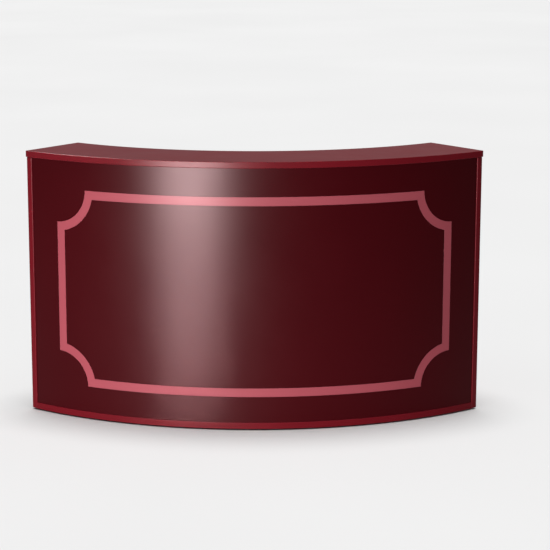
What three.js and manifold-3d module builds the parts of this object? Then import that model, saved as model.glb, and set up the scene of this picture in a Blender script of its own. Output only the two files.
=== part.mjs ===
// Curved reception desk: a high counter over a bowed front with an inlaid stripe, and on the staff side
// a lower worktop with a three-drawer unit. Millimetres, +Z up. The front faces -Y, the staff side +Y,
// and the origin is on the floor in the middle of the desk's box.
import * as THREE from 'three';
import { mergeVertices } from 'three/addons/utils/BufferGeometryUtils.js';
import Module from 'manifold-3d';

const wasm = await Module();
wasm.setup();

// Driving dimensions of the curved carcass
const overallHeight = 1050; // floor to the counter's upper face
const frameWidth = 1790; // across the end panels' outer faces, at their front edges
const frontRadius = 1450; // plan curve of the frame's front edges
const counterDepth = 300; // front to back, along a radius
const counterThickness = 25;
const counterOverhang = 3; // past the frame at the front and at both ends
const endThickness = 25;
const baseDepth = 300;
const baseThickness = 25;
const worktopHeight = 740; // floor to the worktop's upper face
const worktopDepth = 600; // from the frame's front edge
const worktopThickness = 25;
const stepFillet = 60; // inner corner where the end panel steps down to the worktop
const rearCornerRadius = 30; // end panel's corner at the worktop's rear edge
const arris = 1.5; // small chamfer on every board's edges
const seat = 0.3; // gap left where one piece seats on another

// Driving dimensions of the front panel and its inlay
const panelThickness = 12;
const panelRecess = 4; // panel's face behind the frame's front edges
const stripeWidth = 34;
const stripeSideMargin = 123.5; // along the curve, from the end panel to the stripe
const stripeTopMargin = 110.5;
const stripeBottomMargin = 102.5;
const notchRadius = 132; // scooped corner of the stripe's outer line
const inlayThickness = 1.5;

// Driving dimensions of the ribs, brackets and feet
const ribThickness = 18;
const upperRibAngle = THREE.MathUtils.degToRad(12.7);
const lowerRibAngle = THREE.MathUtils.degToRad(20);
const ribSetback = 20; // ribs' rear edges in front of the board above them
const bracketLeg = 40;
const bracketWidth = 30;
const bracketGauge = 2.5;
const bracketInset = 105; // from the worktop's rear edge to the first bracket
const bracketSpacing = 260;
const glideHeight = 5;
const glideRadius = 8.5;
const glideRim = 1.2; // chamfer round the glide's foot
const glideInset = 38; // from a board's end to the glide under it
const baseGlideAngle = THREE.MathUtils.degToRad(12);

// Driving dimensions of the cable grommet
const grommetBore = 30; // radius of the hole in the worktop
const grommetFlange = 36;
const grommetFlangeHeight = 2.5;
const grommetFlangeEase = 1; // slope of the flange's rim
const grommetWall = 3.5;
const grommetLedge = 2; // step that carries the cap
const capThickness = 4;
const cableSlot = 16; // width of the slot in the cap
const cableSlotDepth = 17;
const grommetSetback = 85; // in front of the counter's rear edge

// Driving dimensions of the drawer unit
const unitWidth = 400; // clear width between the end panel and the gable
const gableThickness = 18;
const drawerSetback = 7; // drawer faces inside the worktop's rear edge
const drawerFrontThickness = 18;
const drawerGap = 3; // between drawer fronts, and from them to the rails
const drawerSideGap = 2.5;
const upperFrontHeight = 150;
const middleFrontHeight = 150;
const topRailHeight = 18;
const kickHeight = 55;
const kickSetback = 10;
const boxRearGap = 48; // from the box's nearest rear corner to the front panel
const boxSideThickness = 12;
const boxFloorThickness = 6;
const boxFloorInset = 8; // floor above the sides' lower edges
const boxLift = 12; // box above the lower edge of its front
const boxDrop = 38; // box below the upper edge of its front
const runnerSpace = 12.7; // between the carcass and the drawer's side
const runnerHeight = 40;
const runnerDepth = 11;
const runnerGauge = 1.6;
const runnerPlay = 0.5; // between the two members of a runner
const runnerLift = 22; // runner above the lower edge of its box
const handleSpan = 128;
const handleReach = 28;
const handleBar = 5; // radius of the bar
const handleDrop = 42; // handle below the upper edge of its front
const handleSquareness = 0.45; // of the bow: 1 is an ellipse, less is squarer
const lockRadius = 8;
const lockBezel = 10.5;
const lockBezelHeight = 2;
const plugRadius = 6;
const keywayWidth = 2.4;
const keywayHeight = 6;
const lockDrop = 20; // lock below the upper edge of the upper front
const lockInset = 52; // lock from the gable
const camLength = 26;
const camWidth = 9;
const camThickness = 2.5;

// Facets
const sweepSegments = 24; // half the facets of a long plan curve
const filletSegments = 5; // half the facets of a corner
const roundSegments = 20; // facets of a small round piece
const drumSegments = 240; // facets of the drum that cuts the gable to the curve
const handleSteps = 28; // facets along a handle
const weldDistance = 1e-3; // points nearer than this are one point

// Levels, radii and angles worked out from the driving dimensions
const endAngle = Math.asin(frameWidth / 2 / frontRadius); // each end's outer face, from the desk's middle
const counterRadius = frontRadius + counterOverhang;
const counterRear = counterRadius - counterDepth;
const counterUnderside = overallHeight - counterThickness;
const baseRear = frontRadius - baseDepth;
const baseTop = glideHeight + baseThickness;
const worktopRear = frontRadius - worktopDepth;
const worktopUnderside = worktopHeight - worktopThickness;
const panelRadius = frontRadius - panelRecess;
const panelBack = panelRadius - panelThickness;
const insideRadius = panelBack - seat; // where ribs and the worktop stop behind the panel
const insideEnd = endThickness + seat; // where boards stop beside an end panel
const gableSide = endThickness + unitWidth; // gable's face towards the drawers, from the end's outer face
const drawerFace = worktopRear + drawerSetback; // drawer faces, measured along the end panel
const frontBack = drawerFace + drawerFrontThickness;
const boxReach = Math.sqrt(insideRadius ** 2 - (gableSide - runnerSpace) ** 2); // to the panel's back
const boxLength = boxReach - boxRearGap - frontBack - seat;
const deskRear = worktopRear * Math.cos(endAngle) + arris * Math.sin(endAngle);
const curveCentreY = (counterRadius + deskRear) / 2; // puts the origin in the middle of the box

// Finishes
function finish(color, roughness, metalness = 0) {
  return new THREE.MeshStandardMaterial({ color, roughness, metalness });
}
const frameLacquer = finish(0x741a24, 0.35);
const panelLacquer = finish(0x4c0c15, 0.28);
const stripeLaminate = finish(0xc05763, 0.4);
const drawerBoard = finish(0xd9d3c8, 0.6);
const zincSteel = finish(0xb4b6b8, 0.35, 0.9);
const satinNickel = finish(0xc4c2bd, 0.3, 1);
const blackPlastic = finish(0x1c1b1c, 0.55);
const greyNylon = finish(0x6c6a68, 0.6);

// The desk is drawn about the centre of its plan curve; each end has a turned group of its own,
// with +X out along the end panel's outer face and Z up.
const desk = new THREE.Group();
const curve = new THREE.Group();
curve.position.y = curveCentreY;
desk.add(curve);

function turned(angle, name) {
  const group = new THREE.Group();
  group.name = name;
  group.rotation.z = angle - Math.PI / 2;
  curve.add(group);
  return group;
}

const leftEnd = turned(-endAngle, 'left_end'); // +Y runs inwards from the outer face
const rightEnd = turned(endAngle, 'right_end'); // +Y runs outwards

function place(name, geometry, material, parent, x = 0, y = 0, z = 0) {
  const mesh = new THREE.Mesh(geometry, material);
  mesh.name = name;
  mesh.position.set(x, y, z);
  parent.add(mesh);
  return mesh;
}

// Closed geometry to a solid and back, for cuts and joins
function toSolid(geometry) {
  const bare = new THREE.BufferGeometry();
  bare.setAttribute('position', geometry.getAttribute('position'));
  bare.setIndex(geometry.index);
  const merged = mergeVertices(bare, weldDistance);
  return new wasm.Manifold(new wasm.Mesh({
    numProp: 3,
    vertProperties: merged.attributes.position.array,
    triVerts: new Uint32Array(merged.index.array),
  }));
}

function toGeometry(solid) {
  const mesh = solid.getMesh();
  const geometry = new THREE.BufferGeometry();
  geometry.setAttribute('position', new THREE.BufferAttribute(mesh.vertProperties, 3));
  geometry.setIndex(new THREE.BufferAttribute(mesh.triVerts, 1));
  return geometry;
}

// A board from its outline, lying on z = 0, with chamfered edges unless the chamfer is 0
function board(outline, thickness, curveSegments = filletSegments, chamfer = arris) {
  const geometry = new THREE.ExtrudeGeometry(outline, {
    depth: thickness - 2 * chamfer,
    bevelEnabled: chamfer > 0,
    bevelThickness: chamfer,
    bevelSize: chamfer,
    bevelOffset: -chamfer,
    bevelSegments: 1,
    curveSegments,
  });
  return geometry.translate(0, 0, chamfer);
}

// The same board stood upright: the outline's Y becomes Z, and the thickness runs towards +Y
function uprightBoard(outline, thickness, curveSegments = filletSegments, chamfer = arris) {
  return board(outline, thickness, curveSegments, chamfer).rotateX(Math.PI / 2).translate(0, thickness, 0);
}

function rectangle(x0, x1, y0, y1) {
  return new THREE.Shape([
    new THREE.Vector2(x0, y0),
    new THREE.Vector2(x1, y0),
    new THREE.Vector2(x1, y1),
    new THREE.Vector2(x0, y1),
  ]);
}

// A plain bar between two corners
function bar(low, high) {
  const size = high.map((value, axis) => value - low[axis]);
  const middle = high.map((value, axis) => (value + low[axis]) / 2);
  return new THREE.BoxGeometry(...size).translate(...middle);
}

// Plan of a curved board: two arcs about the curve's centre, with straight ends that lie parallel to the
// end panels' outer faces and endInset inside them
function sector(outerRadius, innerRadius, endInset) {
  const outerEnd = endAngle - Math.asin(endInset / outerRadius);
  const innerEnd = endAngle - Math.asin(endInset / innerRadius);
  const shape = new THREE.Shape();
  shape.absarc(0, 0, outerRadius, -Math.PI / 2 - outerEnd, -Math.PI / 2 + outerEnd, false);
  shape.absarc(0, 0, innerRadius, -Math.PI / 2 + innerEnd, -Math.PI / 2 - innerEnd, true);
  shape.closePath();
  return shape;
}

// A turned piece from its profile of [radius, height] pairs, standing along Z
function turnedPiece(profile) {
  const points = profile.map(([radius, height]) => new THREE.Vector2(radius, height));
  return new THREE.LatheGeometry(points, roundSegments).rotateX(Math.PI / 2);
}

// Counter, base and worktop
place('counter_top', board(sector(counterRadius, counterRear, -counterOverhang), counterThickness - seat,
  sweepSegments), frameLacquer, curve, 0, 0, counterUnderside + seat);
place('base_board', board(sector(frontRadius, baseRear, insideEnd), baseThickness, sweepSegments),
  frameLacquer, curve, 0, 0, glideHeight);

const grommetRadius = counterRear + grommetSetback; // the grommet's place, on the middle line
const worktopPlan = sector(insideRadius, worktopRear, insideEnd);
worktopPlan.holes.push(new THREE.Path().absarc(0, -grommetRadius, grommetBore + seat, 0, 2 * Math.PI, true));
place('worktop', board(worktopPlan, worktopThickness, sweepSegments),
  frameLacquer, curve, 0, 0, worktopUnderside);

// End panels: tall under the counter, stepping down to carry the worktop
function endOutline() {
  const outline = new THREE.Shape();
  const top = counterUnderside;
  outline.moveTo(worktopRear, glideHeight);
  outline.lineTo(frontRadius, glideHeight);
  outline.lineTo(frontRadius, top);
  outline.lineTo(counterRear, top);
  outline.lineTo(counterRear, worktopHeight + stepFillet);
  outline.absarc(counterRear - stepFillet, worktopHeight + stepFillet, stepFillet, 0, -Math.PI / 2, true);
  outline.lineTo(worktopRear + rearCornerRadius, worktopHeight);
  outline.absarc(worktopRear + rearCornerRadius, worktopHeight - rearCornerRadius, rearCornerRadius,
    Math.PI / 2, Math.PI, false);
  outline.closePath();
  return outline;
}
place('left_end_panel', uprightBoard(endOutline(), endThickness), frameLacquer, leftEnd);
place('right_end_panel', uprightBoard(endOutline(), endThickness), frameLacquer, rightEnd, 0, -endThickness);

// The stripe's line, e inside its outer edge, near one corner: t runs from the level run to the upright run
const stripeHalf = panelRadius * (endAngle - Math.asin(insideEnd / panelRadius)) - stripeSideMargin;
const stripeLevels = { top: counterUnderside - stripeTopMargin, bottom: baseTop + stripeBottomMargin };
function notchPoint(side, level, e, t) {
  const radius = notchRadius + e;
  const start = Math.asin(e / radius);
  const angle = start + t * (Math.PI / 2 - 2 * start);
  const corner = level > 0 ? stripeLevels.top : stripeLevels.bottom;
  return [side * (stripeHalf - radius * Math.cos(angle)), corner - level * radius * Math.sin(angle)];
}

// Stations round the stripe, clockwise from its upper right corner, as pairs of [along the curve, height]:
// the outer edge and the inner edge, each moved outwards from the band by grow
function stripeStations(grow) {
  const edges = [-grow, stripeWidth + grow];
  const stations = [];
  for (const [side, level] of [[1, 1], [1, -1], [-1, -1], [-1, 1]]) {
    const forward = side * level > 0;
    for (let k = 0; k <= roundSegments / 2; k += 1) {
      const t = forward ? k / (roundSegments / 2) : 1 - k / (roundSegments / 2);
      stations.push(edges.map((e) => notchPoint(side, level, e, t)));
    }
    if (!forward) {
      const runs = edges.map((e) => notchPoint(side, level, e, 0));
      for (let k = 1; k < 2 * sweepSegments; k += 1) {
        const f = 1 - k / sweepSegments;
        stations.push(runs.map(([along, height]) => [along * f, height]));
      }
    }
  }
  return stations;
}

// The stripe's band wrapped on the curve, from one radius to another: a closed ring of four-sided sections
function stripeBand(innerRadius, outerRadius, grow) {
  const stations = stripeStations(grow);
  const positions = [];
  for (const [outer, inner] of stations) {
    for (const [[along, height], radius] of
      [[outer, outerRadius], [inner, outerRadius], [inner, innerRadius], [outer, innerRadius]]) {
      const angle = along / panelRadius;
      positions.push(radius * Math.sin(angle), -radius * Math.cos(angle), height);
    }
  }
  const index = [];
  for (let k = 0; k < stations.length; k += 1) {
    const here = 4 * k;
    const next = 4 * ((k + 1) % stations.length);
    for (let v = 0; v < 4; v += 1) {
      const w = (v + 1) % 4;
      index.push(here + v, here + w, next + w, here + v, next + w, next + v);
    }
  }
  const geometry = new THREE.BufferGeometry();
  geometry.setAttribute('position', new THREE.Float32BufferAttribute(positions, 3));
  return geometry.setIndex(index);
}

// Bowed front panel with the routed groove, and the inlay that lies flush in it
const panelHeight = counterUnderside - baseTop - 2 * seat;
const panelBlank = board(sector(panelRadius, panelBack, insideEnd), panelHeight, sweepSegments, 0)
  .translate(0, 0, baseTop + seat);
const grooveFloor = panelRadius - inlayThickness - seat;
const groove = stripeBand(grooveFloor, panelRadius + panelRecess, seat);
place('front_panel', toGeometry(toSolid(panelBlank).subtract(toSolid(groove))), panelLacquer, curve);
place('stripe_inlay', stripeBand(panelRadius - inlayThickness, panelRadius, 0), stripeLaminate, curve);

// Ribs behind the panel: two carry the counter, one carries the worktop opposite the drawer unit
function rib(name, angle, rear, low, high) {
  const geometry = uprightBoard(rectangle(rear, insideRadius, low + seat, high - seat), ribThickness);
  place(name, geometry, frameLacquer, turned(angle, name + '_place'), 0, -ribThickness / 2);
}
rib('upper_left_rib', -upperRibAngle, counterRear + ribSetback, worktopHeight, counterUnderside);
rib('upper_right_rib', upperRibAngle, counterRear + ribSetback, worktopHeight, counterUnderside);
rib('lower_rib', lowerRibAngle, baseRear + ribSetback, baseTop, worktopUnderside);

// Gable on the knee side of the drawers: it stands on its glide at the rear and on the base board in front,
// and its front edge is cut to the panel's curve
const gableOuter = gableSide + gableThickness;
const gableNotch = Math.sqrt(baseRear ** 2 - gableOuter ** 2) - seat; // where it meets the base board's rear
function gableOutline() {
  const outline = new THREE.Shape();
  outline.moveTo(drawerFace, glideHeight);
  outline.lineTo(gableNotch, glideHeight);
  outline.lineTo(gableNotch, baseTop + seat);
  outline.lineTo(insideRadius, baseTop + seat);
  outline.lineTo(insideRadius, worktopUnderside - seat);
  outline.lineTo(drawerFace, worktopUnderside - seat);
  outline.closePath();
  return outline;
}
const insideDrum = new THREE.CylinderGeometry(insideRadius, insideRadius, 2 * overallHeight, drumSegments)
  .rotateX(Math.PI / 2);
const gableBlank = uprightBoard(gableOutline(), gableThickness).translate(0, gableSide, 0);
const gable = toSolid(gableBlank).intersect(toSolid(insideDrum));
place('pedestal_gable', toGeometry(gable), frameLacquer, leftEnd);

// Rails between the end panel and the gable, above and below the drawers
const unitLow = insideEnd;
const unitHigh = gableSide - seat;
const topRailLow = worktopUnderside - seat - topRailHeight;
place('pedestal_top_rail', bar([drawerFace, unitLow, topRailLow],
  [frontBack, unitHigh, worktopUnderside - seat]), frameLacquer, leftEnd);
place('pedestal_kick_rail', bar([drawerFace + kickSetback, unitLow, glideHeight],
  [frontBack + kickSetback, unitHigh, glideHeight + kickHeight]), frameLacquer, leftEnd);

// Bow of a handle: a squared-off arch that leaves the drawer front square to it
class HandleBow extends THREE.Curve {
  getPoint(t, target = new THREE.Vector3()) {
    const angle = Math.PI * (1 - t);
    const across = Math.sign(Math.cos(angle)) * Math.abs(Math.cos(angle)) ** handleSquareness;
    const out = Math.sin(angle) ** handleSquareness;
    return target.set(-out * handleReach, across * handleSpan / 2, 0);
  }
}

function handleGeometry() {
  const section = new THREE.Shape().absarc(0, 0, handleBar, 0, 2 * Math.PI, false);
  const bow = new THREE.ExtrudeGeometry(section, {
    steps: handleSteps, extrudePath: new HandleBow(), curveSegments: filletSegments, bevelEnabled: false,
  });
  const backstop = bar([-2 * handleReach, -handleSpan, -handleSpan], [0, handleSpan, handleSpan]);
  return toGeometry(toSolid(bow).intersect(toSolid(backstop)));
}

// Channel of a runner: an open C whose web lies at y = 0 and whose lips reach out along +Y by depth
function channel(height, depth, length) {
  const outline = new THREE.Shape([
    new THREE.Vector2(0, 0),
    new THREE.Vector2(depth, 0),
    new THREE.Vector2(depth, runnerGauge),
    new THREE.Vector2(runnerGauge, runnerGauge),
    new THREE.Vector2(runnerGauge, height - runnerGauge),
    new THREE.Vector2(depth, height - runnerGauge),
    new THREE.Vector2(depth, height),
    new THREE.Vector2(0, height),
  ]);
  const geometry = new THREE.ExtrudeGeometry(outline, { depth: length, bevelEnabled: false });
  return geometry.rotateX(Math.PI / 2).rotateZ(Math.PI / 2);
}

// One drawer: front, box, handle and its two runners. low and high are the front's lower and upper edges.
const slideHeight = runnerHeight - 2 * (runnerGauge + runnerPlay);
const slideDepth = runnerDepth - 2 * runnerGauge;
function drawer(prefix, low, high, frontHole) {
  const add = (part, geometry, material, x = 0, y = 0, z = 0) =>
    place(`${prefix}_${part}`, geometry, material, leftEnd, x, y, z);
  const boxLow = low + boxLift;
  const boxHigh = high - boxDrop;
  const boxFront = frontBack + seat;
  const boxBack = boxFront + boxLength;
  const sideLow = endThickness + runnerSpace;
  const sideHigh = gableSide - runnerSpace;
  const innerLow = sideLow + boxSideThickness + seat;
  const innerHigh = sideHigh - boxSideThickness - seat;
  const backFace = boxBack - boxSideThickness;

  const width = [endThickness + drawerSideGap, gableSide - drawerSideGap];
  const frontBoard = board(rectangle(...width, low, high), drawerFrontThickness)
    .applyMatrix4(new THREE.Matrix4().makeBasis(
      new THREE.Vector3(0, 1, 0), new THREE.Vector3(0, 0, 1), new THREE.Vector3(1, 0, 0)))
    .translate(drawerFace, 0, 0);
  add('front', frontHole ? toGeometry(toSolid(frontBoard).subtract(frontHole)) : frontBoard, frameLacquer);

  for (const [part, inner] of [['left_side', sideLow], ['right_side', sideHigh - boxSideThickness]]) {
    add(part, bar([boxFront, inner, boxLow], [boxBack, inner + boxSideThickness, boxHigh]), drawerBoard);
  }
  add('back', bar([backFace, innerLow, boxLow], [boxBack, innerHigh, boxHigh]), drawerBoard);
  add('floor', bar([boxFront, innerLow, boxLow + boxFloorInset],
    [backFace - seat, innerHigh, boxLow + boxFloorInset + boxFloorThickness]), drawerBoard);
  add('handle', handleGeometry(), satinNickel,
    drawerFace - seat, endThickness + unitWidth / 2, high - handleDrop);

  const runnerLow = boxLow + runnerLift;
  const slideLow = runnerLow + runnerGauge + runnerPlay;
  const mirror = new THREE.Matrix4().makeRotationX(Math.PI);
  const runner = channel(runnerHeight, runnerDepth, boxLength);
  const slide = channel(slideHeight, slideDepth, boxLength);
  add('left_runner', runner, zincSteel, boxFront, endThickness + seat, runnerLow);
  add('right_runner', runner.clone().applyMatrix4(mirror), zincSteel,
    boxFront, gableSide - seat, runnerLow + runnerHeight);
  add('left_slide', slide.clone().applyMatrix4(mirror), zincSteel,
    boxFront, sideLow - seat, slideLow + slideHeight);
  add('right_slide', slide, zincSteel, boxFront, sideHigh + seat, slideLow);
}

// Cam lock in the upper front: a flanged case in a drilled hole, and a plug whose cam turns up behind a rail
const upperHigh = topRailLow - drawerGap;
const upperLow = upperHigh - upperFrontHeight;
const middleHigh = upperLow - drawerGap;
const middleLow = middleHigh - middleFrontHeight;
const lowerHigh = middleLow - drawerGap;
const lowerLow = glideHeight + kickHeight + drawerGap;
const lockPlace = [drawerFace, gableSide - lockInset, upperHigh - lockDrop];
const alongRadius = (geometry) => geometry.rotateY(Math.PI / 2);

const lockHole = toSolid(alongRadius(new THREE.CylinderGeometry(lockRadius + seat, lockRadius + seat,
  4 * drawerFrontThickness, roundSegments).rotateX(Math.PI / 2)).translate(...lockPlace));
const plugBore = plugRadius + seat;
const lockCase = alongRadius(turnedPiece([
  [plugBore, -lockBezelHeight - seat],
  [lockBezel, -lockBezelHeight - seat],
  [lockBezel, -seat],
  [lockRadius, -seat],
  [lockRadius, drawerFrontThickness],
  [plugBore, drawerFrontThickness],
  [plugBore, -lockBezelHeight - seat],
]));
const plugBack = drawerFrontThickness + seat;
const plugBody = toSolid(alongRadius(turnedPiece([
  [0, -lockBezelHeight],
  [plugRadius, -lockBezelHeight],
  [plugRadius, plugBack + camThickness],
  [0, plugBack + camThickness],
])));
const keyway = toSolid(bar([-2 * lockBezelHeight, -keywayWidth / 2, -keywayHeight / 2],
  [lockBezelHeight, keywayWidth / 2, keywayHeight / 2]));
const cam = toSolid(bar([plugBack, -camLength, -camWidth / 2],
  [plugBack + camThickness, camWidth / 2, camWidth / 2]));

drawer('upper_drawer', upperLow, upperHigh, lockHole);
drawer('middle_drawer', middleLow, middleHigh);
drawer('lower_drawer', lowerLow, lowerHigh);
place('lock_case', lockCase, satinNickel, leftEnd, ...lockPlace);
place('lock_plug', toGeometry(plugBody.add(cam).subtract(keyway)), satinNickel, leftEnd, ...lockPlace);

// Cable grommet: a flanged liner in the worktop and a slotted cap that lifts out of it
const linerBore = grommetBore - grommetWall;
const ledgeHeight = worktopThickness + grommetFlangeHeight - capThickness;
const capSeat = linerBore + grommetLedge;
place('grommet_liner', turnedPiece([
  [linerBore, 0],
  [grommetBore, 0],
  [grommetBore, worktopThickness + seat],
  [grommetFlange, worktopThickness + seat],
  [grommetFlange - grommetFlangeEase, worktopThickness + grommetFlangeHeight],
  [capSeat, worktopThickness + grommetFlangeHeight],
  [capSeat, ledgeHeight],
  [linerBore, ledgeHeight],
  [linerBore, 0],
]), blackPlastic, curve, 0, -grommetRadius, worktopUnderside);

const capRadius = capSeat * Math.cos(Math.PI / roundSegments) - seat; // clears the flats of the liner's bore
function capOutline() {
  const half = cableSlot / 2;
  const mouth = Math.asin(half / capRadius);
  const slotEnd = capRadius - cableSlotDepth;
  const outline = new THREE.Shape();
  outline.absarc(0, 0, capRadius, -Math.PI / 2 + mouth, 1.5 * Math.PI - mouth, false);
  outline.lineTo(-half, -slotEnd);
  outline.absarc(0, -slotEnd, half, Math.PI, 0, true);
  outline.closePath();
  return outline;
}
place('grommet_cap', board(capOutline(), capThickness - seat, roundSegments / 2, 0), blackPlastic, curve,
  0, -grommetRadius, worktopUnderside + ledgeHeight + seat);

// Steel angle brackets under the worktop. The bracket's corner is at the origin, with one leg along +Y under
// the worktop and one down the upright beside it.
function bracket() {
  const outline = new THREE.Shape([
    new THREE.Vector2(0, 0),
    new THREE.Vector2(bracketLeg, 0),
    new THREE.Vector2(bracketLeg, -bracketGauge),
    new THREE.Vector2(bracketGauge, -bracketGauge),
    new THREE.Vector2(bracketGauge, -bracketLeg),
    new THREE.Vector2(0, -bracketLeg),
  ]);
  const geometry = new THREE.ExtrudeGeometry(outline, { depth: bracketWidth, bevelEnabled: false });
  return geometry.rotateX(Math.PI / 2).rotateZ(Math.PI / 2);
}
const bracketLevel = worktopUnderside - seat;
const firstBracket = worktopRear + bracketInset;
const awayFromEnd = new THREE.Matrix4().makeRotationZ(Math.PI);
place('end_bracket_rear', bracket().applyMatrix4(awayFromEnd), zincSteel, rightEnd,
  firstBracket, -insideEnd, bracketLevel);
place('end_bracket_front', bracket().applyMatrix4(awayFromEnd), zincSteel, rightEnd,
  firstBracket + bracketSpacing, -insideEnd, bracketLevel);
place('gable_bracket_rear', bracket(), zincSteel, leftEnd, firstBracket, gableOuter + seat, bracketLevel);
place('gable_bracket_front', bracket(), zincSteel, leftEnd,
  firstBracket + bracketSpacing, gableOuter + seat, bracketLevel);

// Glides under the end panels, the gable and the base board
function glide(name, parent, x, y) {
  const geometry = turnedPiece([
    [0, 0],
    [glideRadius - glideRim, 0],
    [glideRadius, glideRim],
    [glideRadius, glideHeight - seat],
    [0, glideHeight - seat],
  ]);
  place(name, geometry, greyNylon, parent, x, y);
}
const endGlides = { rear: worktopRear + glideInset, front: frontRadius - glideInset };
for (const [spot, along] of Object.entries(endGlides)) {
  glide(`left_end_glide_${spot}`, leftEnd, along, endThickness / 2);
  glide(`right_end_glide_${spot}`, rightEnd, along, -endThickness / 2);
}
glide('gable_glide', leftEnd, drawerFace + glideInset, gableSide + gableThickness / 2);
for (const [hand, side] of [['left', -1], ['right', 1]]) {
  for (const [spot, radius] of [['front', frontRadius - glideInset], ['rear', baseRear + glideInset]]) {
    const angle = side * baseGlideAngle;
    glide(`base_glide_${hand}_${spot}`, curve, radius * Math.sin(angle), -radius * Math.cos(angle));
  }
}

export default desk;
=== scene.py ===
import math

import bmesh
import bpy
import numpy as np
from mathutils.geometry import tessellate_polygon
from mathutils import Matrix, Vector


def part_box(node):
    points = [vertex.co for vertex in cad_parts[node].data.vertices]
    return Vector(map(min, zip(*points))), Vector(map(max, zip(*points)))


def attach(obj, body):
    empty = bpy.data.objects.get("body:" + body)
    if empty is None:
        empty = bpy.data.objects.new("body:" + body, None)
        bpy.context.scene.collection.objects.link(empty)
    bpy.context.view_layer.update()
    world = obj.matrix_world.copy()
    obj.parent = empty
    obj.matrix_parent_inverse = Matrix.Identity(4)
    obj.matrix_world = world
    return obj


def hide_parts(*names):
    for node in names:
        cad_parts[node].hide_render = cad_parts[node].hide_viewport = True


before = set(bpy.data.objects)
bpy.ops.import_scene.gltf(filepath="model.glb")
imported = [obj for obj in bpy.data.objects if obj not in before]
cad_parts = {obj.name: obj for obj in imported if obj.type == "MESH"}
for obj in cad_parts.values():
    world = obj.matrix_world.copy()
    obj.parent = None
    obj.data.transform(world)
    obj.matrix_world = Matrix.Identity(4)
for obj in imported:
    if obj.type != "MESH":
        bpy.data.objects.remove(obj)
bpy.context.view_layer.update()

print("frame loaded:", len(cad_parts), "nodes")

# Plan of the desk, in metres. Every curved board is an arc about one centre on the staff side.
plan = {
    "frontRadius": 1.450,    # frame's front edges
    "frameWidth": 1.790,     # across the end panels at the front
    "panelRadius": 1.446,    # bowed panel's face
    "endThickness": 0.025,   # end panels
    "seatGap": 0.0003,       # left between boards
    "arcSteps": 181,         # points along a long curve
    "arris": 0.0013,         # rounding of a board's edges
    "edgeSteps": 4,          # facets round an arris
    "edgeFlat": 0.5,         # level strip beside an arris, as a share of it
    "corner": 0.0024,        # rounding of a board's corners
    "cornerSteps": 6,        # facets round a corner
    "cornerTail": 0.35,      # from a corner's arc to the point past it, as a share of its radius
    "tailRadius": 0.004,     # largest radius this share is taken of
    "samePoint": 1e-6,       # points this near become one
    "noLength": 1e-7,        # edges this short are dropped
    "crispAngle": 32.0,      # edges that turn more than this stay sharp, in degrees
}
endTurn = math.asin(plan["frameWidth"] / 2 / plan["frontRadius"])
panelLow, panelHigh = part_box("front_panel")
counterLow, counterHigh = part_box("counter_top")
baseLow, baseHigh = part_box("base_board")
worktopLow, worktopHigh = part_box("worktop")
centreY = baseLow.y + plan["frontRadius"]  # centre of the plan curve
insideEnd = plan["endThickness"] + plan["seatGap"]  # where the boards between the end panels stop


# Ways to put a board's own (x, y, height) into the desk: flat about the curve's centre, or in the upright
# frame of an end panel, where along runs out from the centre, across runs sideways and up is up
def onCurve(x, y, z):
    return np.stack([x, y + centreY, z], -1)


def onTurn(turn):
    s, c = math.sin(turn), math.cos(turn)

    def put(along, across, up):
        return np.stack([along * s + across * c, centreY - along * c + across * s, up], -1)
    return put


onLeftEnd = onTurn(-endTurn)
onRightEnd = onTurn(endTurn)


# A node's own box (lowest, highest) measured in one of those turned frames
def turnedBox(node, turn):
    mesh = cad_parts[node].data
    flat = np.empty(3 * len(mesh.vertices))
    mesh.vertices.foreach_get("co", flat)
    x, y, z = flat.reshape(-1, 3).T
    y = y - centreY
    s, c = math.sin(turn), math.cos(turn)
    local = np.stack([x * s - y * c, x * c + y * s, z], -1)
    return local.min(0), local.max(0)


# Corners of an outline replaced by arcs: each corner gives a fan of points on a circle that touches both
# sides, with one point more on each side just past the arc; a radius of 0 keeps the point
def softCorners(points, radii, steps=plan["cornerSteps"]):
    points = np.asarray(points, float)
    radii = np.asarray(radii, float)[:, None]
    into = points - np.roll(points, 1, 0)
    away = np.roll(points, -1, 0) - points
    into /= np.linalg.norm(into, axis=1, keepdims=True)
    away /= np.linalg.norm(away, axis=1, keepdims=True)
    turn = np.arctan2(into[:, :1] * away[:, 1:] - into[:, 1:] * away[:, :1],
                      (into * away).sum(1, keepdims=True))
    reach = radii * np.tan(np.abs(turn) / 2)
    start = points - reach * into
    inward = np.stack([-into[:, 1], into[:, 0]], -1) * np.sign(turn)
    angle = np.linspace(0, 1, steps + 1)[None, :] * np.abs(turn)
    arc = (start[:, None] + radii[:, None] * (np.sin(angle)[..., None] * into[:, None]
           + (1 - np.cos(angle))[..., None] * inward[:, None]))
    past = plan["cornerTail"] * np.minimum(radii, plan["tailRadius"])
    fan = np.concatenate([(start - past * into)[:, None], arc,
                          (points + (reach + past) * away)[:, None]], 1).reshape(-1, 2)
    keep = np.linalg.norm(fan - np.roll(fan, 1, 0), axis=1) > plan["noLength"]
    return fan[keep]


def rectangle(x0, x1, y0, y1, corner):
    return softCorners([(x0, y0), (x1, y0), (x1, y1), (x0, y1)], [corner] * 4)


# Plan of a curved board: two arcs about the centre and two straight ends, endInset inside the desk's ends
def sectorOutline(outerRadius, innerRadius, endInset, corner):
    sweep = np.linspace(-1, 1, plan["arcSteps"])
    outer = sweep * (endTurn - math.asin(endInset / outerRadius))
    inner = -sweep * (endTurn - math.asin(endInset / innerRadius))
    radius = np.repeat([outerRadius, innerRadius], plan["arcSteps"])
    angle = np.concatenate([outer, inner])
    radii = np.zeros(2 * plan["arcSteps"])
    radii[[0, plan["arcSteps"] - 1, plan["arcSteps"], -1]] = corner
    return softCorners(np.stack([radius * np.sin(angle), -radius * np.cos(angle)], -1), radii)


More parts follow.
